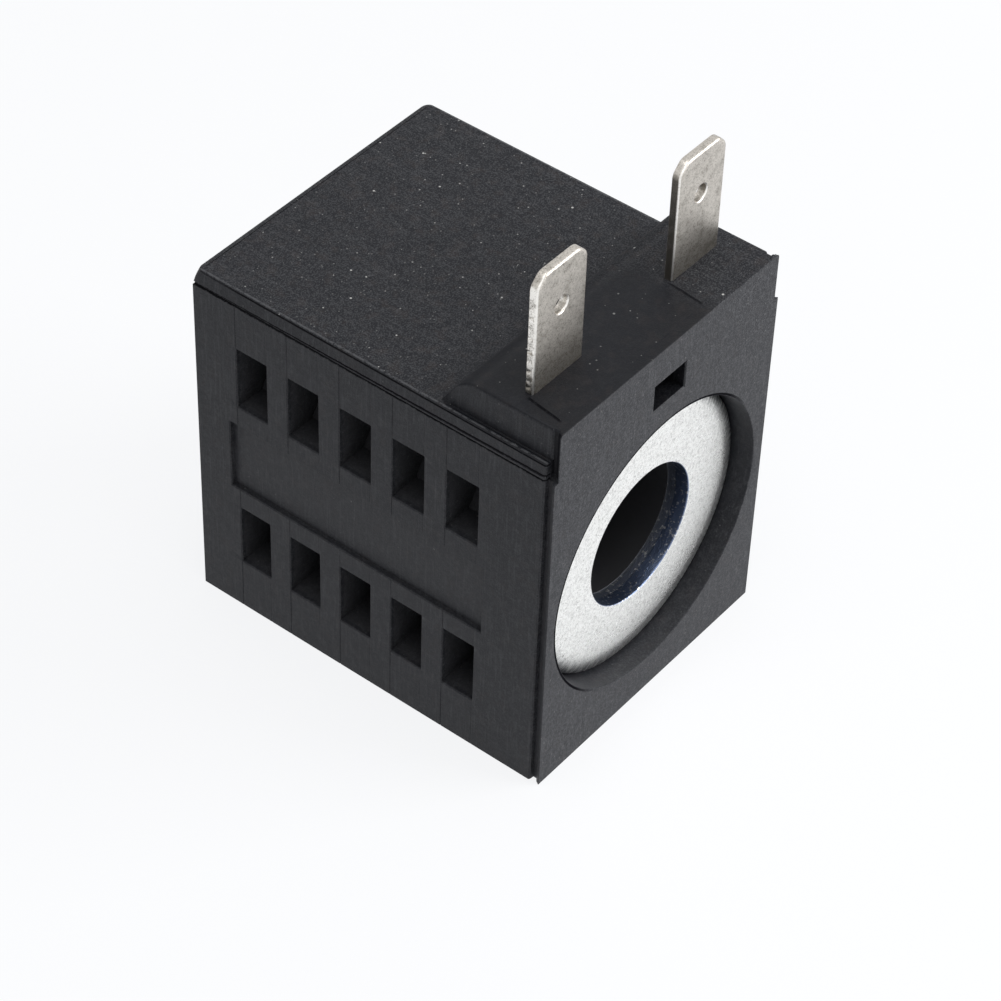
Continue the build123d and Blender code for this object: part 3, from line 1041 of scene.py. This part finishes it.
    def _edge(self, y: np.ndarray, rounding: np.ndarray, crevice: np.ndarray) -> np.ndarray:
        """Inset and z of the section from the side's upper end to the edge of the flat top.

        Two fine seams part the side from the strip above it; towards the rear they run together and the strip
        comes out to the side and leans in more. A crevice runs under the top edge. The edge is a quarter
        ellipse, f being its flatness: inset = r (1 - cos t), drop = f r (1 - sin t).

        Args:
            y: the stations.
            rounding: size r of the top edge at each.
            crevice: depth of the crevice at each.

        Returns:
            stations by points by 2 array.
        """
        level = np.zeros_like(y)
        back = np.clip((y - self.front) / self.length, 0.0, 1.0)
        strip = self.strip_inset + (self.strip_inset_rear - self.strip_inset) * back
        land = self.land_inset + (0.7 * self.seam_depth - self.land_inset) * back ** 2
        seam, brow = self._seam(y), self.height - self.edge_flatness * rounding
        deep, step = level + self.seam_depth, self.seam_half
        lean = self.strip_lean_rear * back
        brim = strip + lean
        lip = self.crevice_lip
        inset = [level, deep, land, land, deep, strip, strip + 0.4 * lean, strip + 0.75 * lean, brim,
                 brim + crevice, brim + lip]
        low, high = seam + step, brow - 2 * self.crevice_half
        foot = level + self.ledge
        rise = [foot, foot + step, foot + 2 * step, seam - step, seam, low, low + 0.4 * (high - low),
                low + 0.75 * (high - low), high, brow - self.crevice_half, brow - lip / 2]
        turn = np.radians(np.linspace(0.0, 90.0, 6))
        bend = brim[:, None] + lip + (rounding[:, None] - lip) * (1.0 - np.cos(turn))
        drop = self.edge_flatness * rounding[:, None] * (1.0 - np.sin(turn))
        return np.stack([np.hstack([np.stack(inset, axis=1), bend]),
                         np.hstack([np.stack(rise, axis=1), self.height - drop])], axis=-1)

    def _upper(self, y: np.ndarray) -> np.ndarray:
        """X and z of the section above the side, up to the edge of the block's flat top.

        After the strip's top edge come a shallow gutter along the block's foot, the block's wall and its
        rounded edge, x = side - r (1 - cos t) and z = rise - r + r sin t. All shrink away with the block.

        Args:
            y: the stations.

        Returns:
            stations by points by 2 array.
        """
        rise = self._rise(y)[:, None]
        share = rise / self.block_rise
        level = np.ones(len(y))
        edge = self._edge(y, level * self.top_round, level * self.crevice)
        edge[:, 0, 0] += self.face_depth(y, level * self.ledge)
        gutter_x = self.block_side + self.gutter_width * np.array([1.0, 0.4, 0.0]) * level[:, None]
        gutter_z = self.height - self.gutter_depth * np.array([0.0, 1.0, 0.7]) * share
        turn = np.radians(np.linspace(0.0, 90.0, 9))
        radius = self.block_round * share
        block_x = self.block_side - radius * (1.0 - np.cos(turn))
        block_z = self.height + rise - radius + radius * np.sin(turn)
        return np.stack([np.hstack([self.half - edge[..., 0], gutter_x, block_x]),
                         np.hstack([edge[..., 1], gutter_z, block_z])], axis=-1)

    def _corner(self) -> tuple[np.ndarray, np.ndarray, np.ndarray]:
        """A rear corner of the right side: the strip's section carried round it, the body's and the ledge.

        A point with the inset d moves to (cx + (R - d) cos a, cy + (R - d) sin a), with R from the circle's
        middle to the side. R grows with the square of the height above the ledge, the top edge widens and the
        crevice fades with sin^2 a. The body below keeps a sharp corner.

        Returns:
            Three grids: section round the corner, body's column, ledge.
        """
        last = self.y_stations()[-1]
        turn = np.radians(np.linspace(0.0, 90.0, 10))
        away = np.sin(turn) ** 2
        rounding = self.top_round + (self.rear_round - self.top_round) * away
        edge = self._edge(np.full(len(turn), self.rear), rounding, self.crevice * (1.0 - away))
        climb = np.clip((edge[:1, :, 1] - self.ledge) / (self.height - self.ledge), 0.0, 1.0)
        radius = self.corner_reach + (self.top_corner - self.low_corner) * climb ** 2
        reach = radius - edge[..., 0]
        bend = np.stack([self.half - radius + reach * np.cos(turn)[:, None],
                         self.rear - radius + reach * np.sin(turn)[:, None], edge[..., 1]], axis=-1)
        near = self._edge(np.array([last]), np.array([self.top_round]), np.array([self.crevice]))
        start = np.stack([self.half - near[..., 0], np.full_like(near[..., 0], last), near[..., 1]], axis=-1)
        around = np.concatenate([start, bend])
        zs = self.z_stations()
        column = np.stack([np.stack([np.full(len(zs), self.half), np.full(len(zs), at), zs], axis=-1)
                           for at in (last, self.rear - self.corner_reach, self.rear)])
        sharp = np.full((len(around), 3), [self.half, self.rear, self.ledge])
        sharp[:2], sharp[-1] = around[:2, 0], around[-1, 0]
        return around, column, np.stack([sharp, around[:, 0]])

    def _lip_rings(self) -> list[tuple[np.ndarray, float]]:
        """Half outlines of the lip and the groove behind it, each with its y.

        The lip's side leans in towards the groove. Above the ledge the lip follows the block at its own
        inset.

        Returns:
            X and z of each outline and its y, from the front face to the first section.
        """
        zs, first = self.z_stations(), self.y_stations()[:1]
        side = np.stack([self.half - self.face_depth(np.repeat(first, len(zs)), zs), zs], axis=1)
        body = np.vstack([side, self._upper(first)[0]])
        high = np.arange(len(body)) > len(zs)
        behind = np.clip(self.block_side - body[:, 0], 0.0, None)
        inset = np.where(high, self.lip_block_inset + behind, self.lip_inset)
        climb = np.maximum.accumulate(body[:, 1])

        def outline(narrower: float, lower: float) -> np.ndarray:
            """The lip's outline moved in at its sides and at its top and bottom."""
            level = np.clip(climb, lower, self.block_top - lower)
            return np.stack([self.half - inset - narrower, level], axis=1)

        bottom = outline(self.groove_side, self.groove_top)
        ridge = np.stack([body[:, 0] - self.ridge,
                          np.clip(body[:, 1], self.ridge_top, self.block_top - self.ridge_top)], axis=1)
        back = self.front + self.lip
        return [(outline(self.lip_edge, self.lip_edge), self.front),
                (outline(0.0, 0.0), self.front + self.lip_edge),
                (outline(self.lip_flare, 0.0), back),
                (bottom, back),
                (bottom, back + self.groove),
                (ridge, back + self.groove + 0.5 * self.ridge),
                (body, float(first[0]))]

    def _middle(self, shell: Shell) -> None:
        """Joins the two sides across the top, the bottom and the rear strip.

        A right-hand line is carried to the left one: at the share s, from 1 to -1, its x is s x.
        """
        ys = self.y_stations()
        share = np.ones((5, 1, 3))
        share[:, 0, 0] = np.linspace(1.0, -1.0, 5)
        upper = self._upper(ys)[:, -1]
        rings = self._lip_rings()[:-1]
        top = [(line[-1, 0], at, line[-1, 1]) for line, at in rings]
        shell.grid(np.vstack([top, np.insert(upper, 1, ys, axis=1)])[None] * share)

        skin = self.half - self.face_depth(ys, np.zeros(len(ys)))
        low = [(line[0, 0], at, line[0, 1]) for line, at in rings]
        rear = [(self.half, self.rear - self.corner_reach, 0.0), (self.half, self.rear, 0.0)]
        shell.grid(np.vstack([low, np.stack([skin, ys, np.zeros(len(ys))], axis=1), rear])[None] * share)

        corner = self._corner()[0]
        shell.grid(corner[-1][None] * share)
        flat = corner[:, -1]
        inner = flat.copy()
        inner[:, 0] = np.minimum(flat[:, 0], self.block_side)
        shell.grid(inner[None] * share)
        gutter = self.gutter_width * np.array([1.0, 0.4]) / (flat[0, 0] - self.block_side)
        steps = np.concatenate([[1.0], gutter, [0.0]])[:, None, None]
        strip = inner + (flat - inner) * steps
        for side in Side:
            shell.grid(strip * np.array([side.value, 1.0, 1.0]))

    def _circle(self, radius: float) -> np.ndarray:
        """X and z of a circle round the bore axis."""
        turn = np.linspace(0.0, 2.0 * np.pi, ROUND_STEPS, endpoint=False)
        return np.stack([radius * np.cos(turn), self.axis_height + radius * np.sin(turn)], axis=1)

    def _frame(self, column: np.ndarray, top: np.ndarray, bottom: np.ndarray) -> np.ndarray:
        """Closed outline of an end face: up the right column, across the top, down the left one and back.

        Args:
            column: x and z of the right column, from the bottom up.
            top: x of the points between the columns along the top.
            bottom: x of the points along the bottom.

        Returns:
            The outline without points that repeat the one before.
        """
        loop = np.vstack([
            column,
            np.stack([top, np.full(len(top), column[-1, 1])], axis=1),
            column[::-1] * np.array([-1.0, 1.0]),
            np.stack([-bottom, np.full(len(bottom), column[0, 1])], axis=1),
        ])
        return loop[np.linalg.norm(loop - np.roll(loop, 1, axis=0), axis=1) > 1e-6]

    def _end_faces(self, shell: Shell) -> None:
        """Adds the front face, with the slot's opening, and the rear face, each with a round hole."""
        hole = self._circle(self.pocket + self.pocket_round)
        across = np.array([0.5, 0.0, -0.5])
        line = self._lip_rings()[0][0]
        front = self._frame(line, line[-1, 0] * across, line[0, 0] * across)
        shell.region([front, hole, self._slot_loop(self.chamfer)],
                     lambda p: np.insert(p, 1, self.front, axis=1))
        zs = self.z_stations()
        column = np.stack([np.full(len(zs), self.half), zs], axis=1)
        top = (self.half - self.corner_reach) * np.array([1.0, *across, -1.0])
        rear = self._frame(column, top, self.half * across)
        shell.region([rear, hole], lambda p: np.insert(p, 1, self.rear, axis=1))

    def _slot_loop(self, grow: float) -> np.ndarray:
        """X and z of the slot's corners, moved out by grow."""
        x = self.slot_width / 2 + grow
        low, high = self.slot_bottom - grow, self.slot_top + grow
        return np.array([[x, low], [x, high], [-x, high], [-x, low]])

    def _slot(self, shell: Shell) -> None:
        """Adds the slot's 45 degree rim, its walls and its floor."""
        stations = [(self.chamfer, self.front), (0.0, self.front + self.chamfer),
                    (0.0, self.front + self.slot_depth)]
        rings = [np.insert(self._slot_loop(grow), 1, at, axis=1) for grow, at in stations]
        shell.grid(np.stack(rings), around=True)
        shell.add(rings[-1], np.array([[0, 1, 2, 3]]))

    def _core(self, shell: Shell) -> None:
        """Adds the round pockets at both ends and the core's wall between them, all turned about the bore."""
        rim = arc((self.pocket + self.pocket_round, self.front + self.pocket_round), self.pocket_round,
                  270.0, 180.0, 4)
        floor = self.front + self.pocket_depth
        front = np.vstack([rim, [[self.pocket, floor], [self.core, floor]]])
        rear = front[::-1] * np.array([1.0, -1.0])
        shell.grid(lathe(np.vstack([front, rear]), self.axis_height), around=True)


@dataclass(frozen=True)
class Ridge:
    """One thin ridge: its path's corners, vectors across it and out of the surface, and its size."""

    path: tuple[tuple[float, float, float], ...]
    across: tuple[float, float, float]
    up: tuple[float, float, float]
    width: float
    height: float

    def add(self, shell: Shell) -> None:
        """Adds the ridge, which has a triangular section and thins to a point at both ends.

        At the share t of the path the section's half width is w s / 2 and its height h s, with
        s = sin(pi t)^0.3, and its foot lies a third of the height below the surface.

        Args:
            shell: the shell that takes it.
        """
        corners = np.array(self.path)
        lengths = np.concatenate([[0.0], np.cumsum(np.linalg.norm(np.diff(corners, axis=0), axis=1))])
        share = np.linspace(0.0, 1.0, 15)
        line = np.stack([np.interp(share * lengths[-1], lengths, corners[:, i]) for i in range(3)], axis=1)
        swell = np.clip(np.sin(np.pi * share), 0.0, 1.0) ** 0.3 * np.clip(share * 50.0, 0.02, 1.0)
        swell = np.maximum(swell, 0.02)[:, None]
        side, rise = np.array(self.across) * self.width / 2, np.array(self.up) * self.height
        rings = np.stack([line - (side + rise / 3) * swell, line + rise * swell,
                          line + (side - rise / 3) * swell], axis=1)
        shell.grid(rings, around=True)
        shell.add(np.concatenate([rings[0], rings[-1]]), np.array([[0, 1, 2], [3, 4, 5]]))


@dataclass
class Flash:
    """Thin ridges of plastic that the mould's seams leave on the block, and burrs at the lip's right edge."""

    finish: MouldedPlastic = field(default_factory=MouldedPlastic)
    block_top: float = 39.3
    seam_width: float = 0.26
    seam_height: float = 0.12
    burr_side: float = 14.45
    burr_y: float = -18.6

    def ridges(self) -> list[Ridge]:
        """The block's two seams, a burr down the lip's side and one at its corner."""
        top, side, y = self.block_top, self.burr_side, self.burr_y
        sideways, lengthways, upwards = (1.0, 0.0, 0.0), (0.0, 1.0, 0.0), (0.0, 0.0, 1.0)
        seams = [((-12.45, -14.0, top), (-12.75, -15.6, top), (-13.0, -17.75, top)),
                 ((5.65, -14.2, top), (5.5, -15.8, top), (5.3, -17.8, top))]
        burr = ((side, y, 36.3), (side - 0.03, y, 37.2), (side, y, 38.0))
        corner = ((13.3, y - 0.02, top), (14.2, y - 0.02, top))
        return [*[Ridge(path, sideways, upwards, self.seam_width, self.seam_height) for path in seams],
                Ridge(burr, lengthways, sideways, 0.3, 0.18),
                Ridge(corner, lengthways, (0.7, 0.0, 0.7), 0.25, 0.1)]

    def build(self) -> bpy.types.Object:
        """Builds all ridges.

        Returns:
            The ridges as one piece.
        """
        shell = Shell()
        for ridge in self.ridges():
            ridge.add(shell)
        return place(shell, "casing_flash", self.finish.make("flash plastic"), "casing_plastic")


@dataclass
class FluxWasher:
    """Stamped washer: burnished and torn hole wall, flat face and a rolled outer edge."""

    facing: Facing
    node: str
    finish: bpy.types.Material
    axis_height: float = 17.2
    face: float = 17.1
    thickness: float = 2.2
    hole: float = 6.7
    outer: float = 13.45
    roll_width: float = 2.1
    roll_depth: float = 0.38
    edge_depth: float = 0.45
    lead: float = 0.12
    burnished: float = 0.62
    torn_step: float = 0.05
    torn_back: float = 0.07
    torn_rise: float = 0.04
    back_round: float = 0.03

    def build(self) -> bpy.types.Object:
        """Builds the washer.

        With t from 0 at the roll's start to 1 at the outer edge, the face falls by
        roll t^2 + edge (1 - sqrt(1 - t^10)). The hole has a rounded front edge, a burnished band and a torn
        band that widens a little to the back.

        Returns:
            The washer.
        """
        share = np.sin(np.linspace(0.0, np.pi / 2, 22))
        fall = self.roll_depth * share ** 2 + self.edge_depth * (1.0 - np.sqrt(1.0 - share ** 10))
        roll = np.stack([self.outer - self.roll_width * (1.0 - share), self.face - fall], axis=1)
        lead = arc((self.hole + self.lead, self.face - self.lead), self.lead, 180.0, 90.0, 4)
        back = self.face - self.thickness
        torn = self.face - self.burnished * self.thickness
        profile = np.vstack([
            [[self.hole + self.torn_back, back], [self.hole + self.torn_step, torn - self.torn_rise],
             [self.hole, torn]],
            lead,
            roll,
            [[self.outer, back + self.back_round], [self.outer - self.back_round, back]],
        ])
        profile[:, 1] *= self.facing.value
        shell = Shell()
        shell.grid(lathe(np.vstack([profile, profile[:1]]), self.axis_height, 192), around=True)
        return place(shell, self.node + "_plate", self.finish, "zinc_plated_steel", [self.node], 40.0)


@dataclass
class BladeTerminal:
    """Flat blade with a rounded front edge, clipped tip corners, a hole and, on one side, shearing dents."""

    side: Side
    node: str
    finish: bpy.types.Material
    dents: int = 0
    middle: float = 9.0
    front: float = -14.25
    thickness: float = 0.8
    width: float = 6.3
    foot: float = 36.0
    tip: float = 50.8
    clip: float = 1.0
    corner: float = 0.9
    front_bevel: float = 0.26
    back_bevel: float = 0.08
    hole: float = 0.78
    hole_rim: float = 0.13
    hole_drop: float = 4.3
    hole_lead: float = 0.06
    hole_throat: float = 0.14
    hole_back: float = 0.05
    dent_depth: float = 0.25
    dent_start: float = 39.8
    dent_pitch: float = 0.86
    dent_scatter: float = 0.22

    def outline(self, inset: float, dented: bool = False) -> np.ndarray:
        """X and z of the outline, moved in by inset: straight sides, clipped and rounded tip corners.

        A dent draws the left side in by depth cos^2 of the distance to its middle over 0.3 of the pitch.

        Args:
            inset: how far the outline is moved in.
            dented: whether the left side has its dents.

        Returns:
            The outline, up the right side and down the left one.
        """
        half = self.width / 2 - inset
        top = self.tip - inset
        clip = self.clip - 0.4 * inset
        rise = np.linspace(self.foot, top - clip - self.corner / 2, 90)
        corners = np.array([[half, self.foot], [half, top - clip], [half - clip, top], [-half, top]])
        right = np.vstack([np.stack([np.full(len(rise), half), rise], axis=1),
                           self._rounded(*corners[:3]), self._rounded(*corners[1:])])
        left = right[::-1] * np.array([-1.0, 1.0])
        if dented:
            number = np.round((left[:, 1] - self.dent_start) / self.dent_pitch)
            middle = self.dent_start + self.dent_pitch * (number + self.dent_scatter * np.sin(5.0 * number))
            near = np.clip(np.abs(left[:, 1] - middle) / (0.3 * self.dent_pitch), 0.0, 1.0)
            sheared = (number >= 0) & (number < self.dents)
            depth = self.dent_depth * (0.75 + 0.25 * np.cos(3.0 * number))
            left[:, 0] += np.where(sheared, depth * np.cos(near * np.pi / 2) ** 2, 0.0)
        loop = np.vstack([right, left])
        loop[:, 0] += self.side.value * self.middle
        return loop

    def _rounded(self, before: np.ndarray, at: np.ndarray, after: np.ndarray) -> np.ndarray:
        """Points of a corner rounded by a parabola: (1-t)^2 a + 2 t (1-t) p + t^2 b, a and b on its legs."""
        reach = self.corner * 0.45
        start = at + (before - at) / np.linalg.norm(before - at) * reach
        end = at + (after - at) / np.linalg.norm(after - at) * reach
        t = np.linspace(0.0, 1.0, 8)[:, None]
        return (1 - t) ** 2 * start + 2 * t * (1 - t) * at + t ** 2 * end

    def build(self) -> bpy.types.Object:
        """Builds the blade.

        Its front edge is a quarter circle in four steps, its back edge a narrow bevel.

        Returns:
            The blade.
        """
        shell = Shell()
        back = self.front + self.thickness
        turn = np.linspace(0.0, 2.0 * np.pi, 48, endpoint=False)
        centre = np.array([self.side.value * self.middle, self.tip - self.hole_drop])
        circle = np.stack([np.cos(turn), np.sin(turn)], axis=1)
        rim = centre + circle * (self.hole + self.hole_rim)
        back_rim = centre + circle * (self.hole + self.hole_back)
        bend = arc((self.front_bevel, self.front_bevel), self.front_bevel, 270.0, 180.0, 4)
        edge = [(self.outline(inset), self.front + at) for inset, at in bend]
        edge.append((self.outline(0.0, self.dents > 0), (self.front + back) / 2))
        edge += [(self.outline(0.0), back - self.back_bevel), (self.outline(self.back_bevel), back)]
        throat = centre + circle * self.hole
        wall = [(rim, self.front),
                (centre + circle * (self.hole + self.hole_rim / 3), self.front + self.hole_lead),
                (throat, self.front + self.hole_throat),
                (throat, back - self.hole_back),
                (back_rim, back)]
        for lines in (edge, wall):
            shell.grid(np.stack([np.insert(line, 1, at, axis=1) for line, at in lines]), around=True)
        for loops, at in (((edge[0][0], rim), self.front), ((edge[-1][0], back_rim), back)):
            shell.region(loops, lambda p, at=at: np.insert(p, 1, at, axis=1))
        return place(shell, self.node + "_blade", self.finish, "tinned_brass", [self.node])


@dataclass
class Insides:
    """CAD nodes that keep their own mesh and get a finish."""

    nodes: dict[str, bpy.types.Object]

    def dress(self) -> None:
        """Gives every remaining node its finish."""
        copper = PlainFinish((0.62, 0.25, 0.1), (0.4, 0.14, 0.05), 0.8, 0.3)
        solder = PlainFinish((0.62, 0.63, 0.64), (0.45, 0.45, 0.46), 1.0, 0.28)
        finishes = {
            "bobbin": PlainFinish((0.006, 0.006, 0.007), (0.014, 0.014, 0.016), 0.0, 0.5),
            "flux_sleeve": PlainFinish((0.5, 0.5, 0.52), (0.35, 0.35, 0.37), 1.0, 0.4),
            "winding": copper,
            "winding_tape": PlainFinish((0.72, 0.55, 0.14), (0.6, 0.44, 0.1), 0.0, 0.3),
            "start_lead": copper,
            "finish_lead": copper,
            "start_lead_sleeving": PlainFinish((0.75, 0.75, 0.7), (0.6, 0.6, 0.56), 0.0, 0.5),
            "left_solder_joint": solder,
            "right_solder_joint": solder,
        }
        for name, finish in finishes.items():
            mesh = self.nodes[name].data
            mesh.materials.clear()
            mesh.materials.append(finish.make(name.replace("_", " ") + " finish"))
            LOG.info("dressed %s", name)


@dataclass
class Studio:
    """Floor, lamps, surroundings and camera of the photograph."""

    lens: float = 122.7433
    azimuth: float = -52.9115
    elevation: float = 43.5303
    roll: float = 2.2575
    right_shift: float = 12.5131
    up_shift: float = -16.0458
    distance: float = 295.5289
    frame_y: float = -18.8
    ambient: float = 0.37
    aim_height: float = 18.0
    floor_reach: float = 1500.0
    floor_drop: float = 0.02
    floor_glow: float = 0.84

    def floor(self) -> None:
        """Adds the pale floor: mostly plain white where it is seen, with the coil's soft shadow in it."""
        shell = Shell()
        reach = np.linspace(-self.floor_reach, self.floor_reach, 9)
        x, y = np.meshgrid(reach, reach)
        shell.grid(np.stack([x, y, np.full(x.shape, -self.floor_drop)], axis=-1))
        thing = shell.build("floor")
        paint = Paint("pale floor")
        paint.set(Base_Color=(0.92, 0.93, 0.95), Roughness=0.85, Specular_IOR_Level=0.1)
        glow = paint.node("ShaderNodeEmission", {}, {"Color": (0.98, 0.987, 1.0), "Strength": 1.0})[0]
        paint.blend(paint.seen() * self.floor_glow, glow)
        thing.data.materials.append(paint.material)

    def surroundings(self) -> None:
        """Sets a plain pale world: white where it is seen, weaker as a light."""
        world = bpy.data.worlds.new("studio")
        world.use_nodes = True
        nodes = Nodes(world.node_tree)
        nodes.tree.nodes.clear()
        strength = nodes.seen() * (1.0 - self.ambient) + self.ambient
        sky = nodes.node("ShaderNodeBackground", {}, {"Color": (1.0, 1.0, 1.0), "Strength": strength})[0]
        nodes.node("ShaderNodeOutputWorld", {}, {"Surface": sky}, ())
        bpy.context.scene.world = world

    def lamp(self, name: str, place: tuple[float, float, float], size: float, power: float) -> None:
        """Adds a soft square lamp that looks at the coil's middle.

        Args:
            name: the lamp's name.
            place: where it is, in millimetres.
            size: its side in millimetres.
            power: its power in watts.
        """
        light = bpy.data.lights.new(name, "AREA")
        light.size = size * MM
        light.energy = power
        thing = bpy.data.objects.new(name, light)
        thing.location = Vector(place) * MM
        aim = Vector((0.0, 0.0, self.aim_height * MM)) - thing.location
        thing.rotation_euler = aim.to_track_quat("-Z", "Y").to_euler()
        bpy.context.scene.collection.objects.link(thing)

    def camera(self) -> None:
        """Adds the camera from the fitted angles.

        Back points from the coil to the camera, right lies level, and both are turned by the roll. The camera
        stands at -shift along right and up, and at the distance along back.
        """
        a, e, t = (math.radians(v) for v in (self.azimuth, self.elevation, self.roll))
        back = Vector((math.sin(a) * math.cos(e), -math.cos(a) * math.cos(e), math.sin(e)))
        level = Vector((math.cos(a), math.sin(a), 0.0))
        upright = back.cross(level)
        right = math.cos(t) * level + math.sin(t) * upright
        up = -math.sin(t) * level + math.cos(t) * upright
        place = -self.right_shift * right - self.up_shift * up + self.distance * back
        place.y += self.frame_y
        lens = bpy.data.cameras.new("camera")
        lens.lens = self.lens
        lens.sensor_width = 36.0
        lens.clip_start, lens.clip_end = 0.01, 10.0
        thing = bpy.data.objects.new("camera", lens)
        turn = Matrix((right, up, back)).transposed().to_4x4()
        turn.translation = place * MM
        thing.matrix_world = turn
        bpy.context.scene.collection.objects.link(thing)
        bpy.context.scene.camera = thing

    def build(self) -> None:
        """Adds everything around the coil."""
        self.floor()
        self.surroundings()
        self.lamp("key", (260.0, -350.0, 150.0), 300.0, 2.0)
        self.lamp("top", (-50.0, -90.0, 520.0), 420.0, 1.45)
        self.camera()
        bpy.context.scene.view_settings.view_transform = "Standard"


def main() -> None:
    """Builds the coil around its frame."""
    logging.basicConfig(level=logging.INFO, format="%(message)s")
    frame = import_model()
    zinc = ZincPlate().make("zinc plate")
    tin = TinPlate().make("tin plate")
    Casing().build()
    Flash().build()
    FluxWasher(Facing.FRONT, "front_washer", zinc).build()
    FluxWasher(Facing.REAR, "rear_washer", zinc).build()
    BladeTerminal(Side.LEFT, "left_terminal", tin, dents=10).build()
    BladeTerminal(Side.RIGHT, "right_terminal", tin).build()
    Insides(frame["nodes"]).dress()
    Studio().build()


if __name__ == "__main__":
    main()
